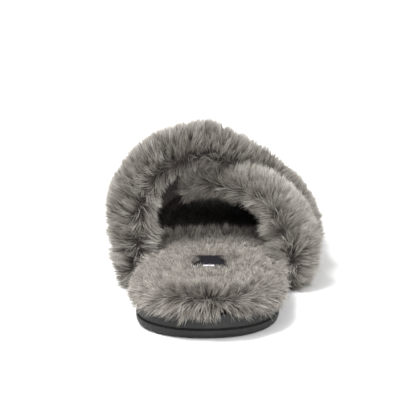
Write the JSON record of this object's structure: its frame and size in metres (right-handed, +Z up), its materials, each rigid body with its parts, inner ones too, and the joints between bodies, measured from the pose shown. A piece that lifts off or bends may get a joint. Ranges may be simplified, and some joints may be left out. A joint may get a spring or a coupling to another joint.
{
  "type": "scuff slipper",
  "caption": "Right-foot scuff slipper: crossed fur bands form a hollow upper over a fur-covered footbed on a moulded rubber outsole.",
  "frame": {"origin": "on the floor, under the middle of the heel's tread", "axes": "+Y from heel to toe, +X to the outer side of a right foot, +Z up"},
  "size_m": [0.1211, 0.2657, 0.0841],
  "materials": {
    "outsole": "dark charcoal moulded rubber, fine matt grain",
    "footbed": "long-pile grey faux fur over foam",
    "label": "plain dark woven label",
    "upper": "long-pile grey faux fur, dark at the roots"
  },
  "bodies": {
    "root": {"outsole": "outsole", "footbed": "footbed", "label": "label", "upper": "upper"}
  },
  "joints": []
}
